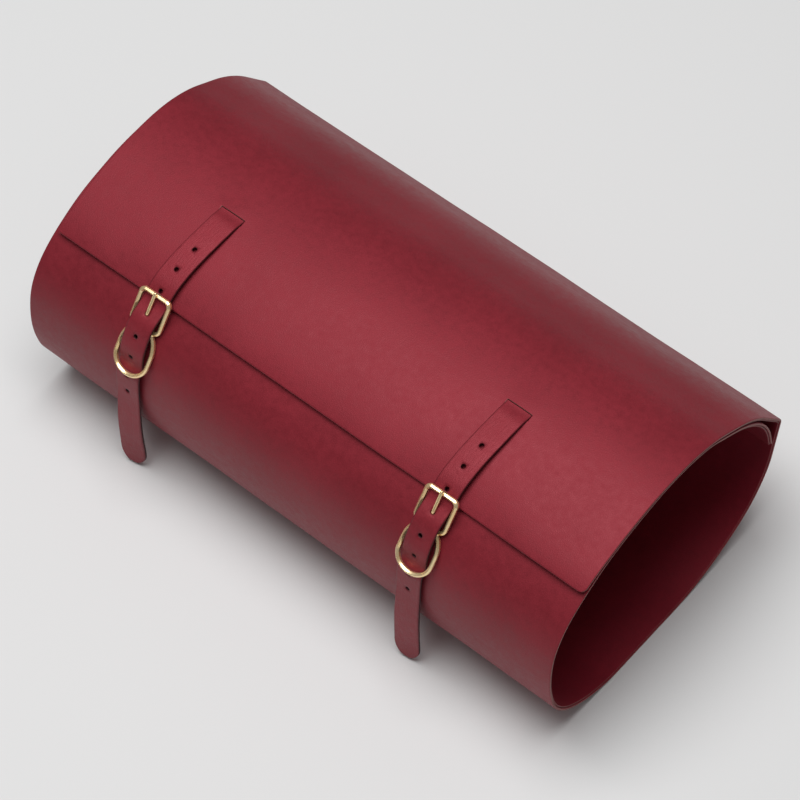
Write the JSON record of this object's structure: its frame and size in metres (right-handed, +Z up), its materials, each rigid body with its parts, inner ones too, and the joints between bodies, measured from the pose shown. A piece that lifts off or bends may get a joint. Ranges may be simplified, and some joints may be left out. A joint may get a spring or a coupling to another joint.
{
  "type": "brush roll case",
  "caption": "Rolled leather brush case, a flattened oval tube with a crease at the back, held shut by straps with pin buckles at the front.",
  "frame": {"origin": "centre of the bottom of the bounding box, on the surface that the roll lies on", "axes": "+X along the roll, +Z up, the buckles face -Y and the crease is at +Y"},
  "size_m": [0.3634, 0.2042, 0.1477],
  "materials": {
    "outer_leather": "satin burgundy, fine grain",
    "lining_leather": "dark burgundy, smooth",
    "pocket_leather": "dark burgundy, smooth",
    "strap_leather": "satin burgundy strap",
    "thread": "waxed thread",
    "gold_metal": "polished gold"
  },
  "bodies": {
    "root": {"outer_leather": "outer_leather", "lining_leather": "lining_leather", "pocket_panel": "pocket_leather", "pocket_stitching": "thread", "strap_left": "strap_leather", "chape_left": "strap_leather", "chape_rivet_left": "gold_metal", "strap_right": "strap_leather", "chape_right": "strap_leather", "chape_rivet_right": "gold_metal"},
    "frame_left": {"buckle_frame_left": "gold_metal", "centre_bar_left": "gold_metal"},
    "prong_left": {"prong_left": "gold_metal"},
    "tail_left": {"strap_tail_left": "strap_leather"},
    "frame_right": {"buckle_frame_right": "gold_metal", "centre_bar_right": "gold_metal"},
    "prong_right": {"prong_right": "gold_metal"},
    "tail_right": {"strap_tail_right": "strap_leather"}
  },
  "joints": [
    {"name": "frame_rock_left", "type": "hinge", "parent": "root", "child": "frame_left", "pos_m": [-0.1062, -0.08493, 0.11292], "axis": [1, 0, 0], "range_deg": [0, 1]},
    {"name": "prong_pivot_left", "type": "hinge", "parent": "frame_left", "child": "prong_left", "pos_m": [-0.1062, -0.08493, 0.11292], "axis": [1, 0, 0], "range_deg": [0, 4]},
    {"name": "tail_swing_left", "type": "hinge", "parent": "root", "child": "tail_left", "pos_m": [-0.1062, -0.09905, 0.07365], "axis": [-1, 0, 0], "range_deg": [-5, 75]},
    {"name": "frame_rock_right", "type": "hinge", "parent": "root", "child": "frame_right", "pos_m": [0.0904, -0.08493, 0.11292], "axis": [1, 0, 0], "range_deg": [0, 1]},
    {"name": "prong_pivot_right", "type": "hinge", "parent": "frame_right", "child": "prong_right", "pos_m": [0.0904, -0.08493, 0.11292], "axis": [1, 0, 0], "range_deg": [0, 4]},
    {"name": "tail_swing_right", "type": "hinge", "parent": "root", "child": "tail_right", "pos_m": [0.0904, -0.09905, 0.07365], "axis": [-1, 0, 0], "range_deg": [-5, 75]}
  ]
}
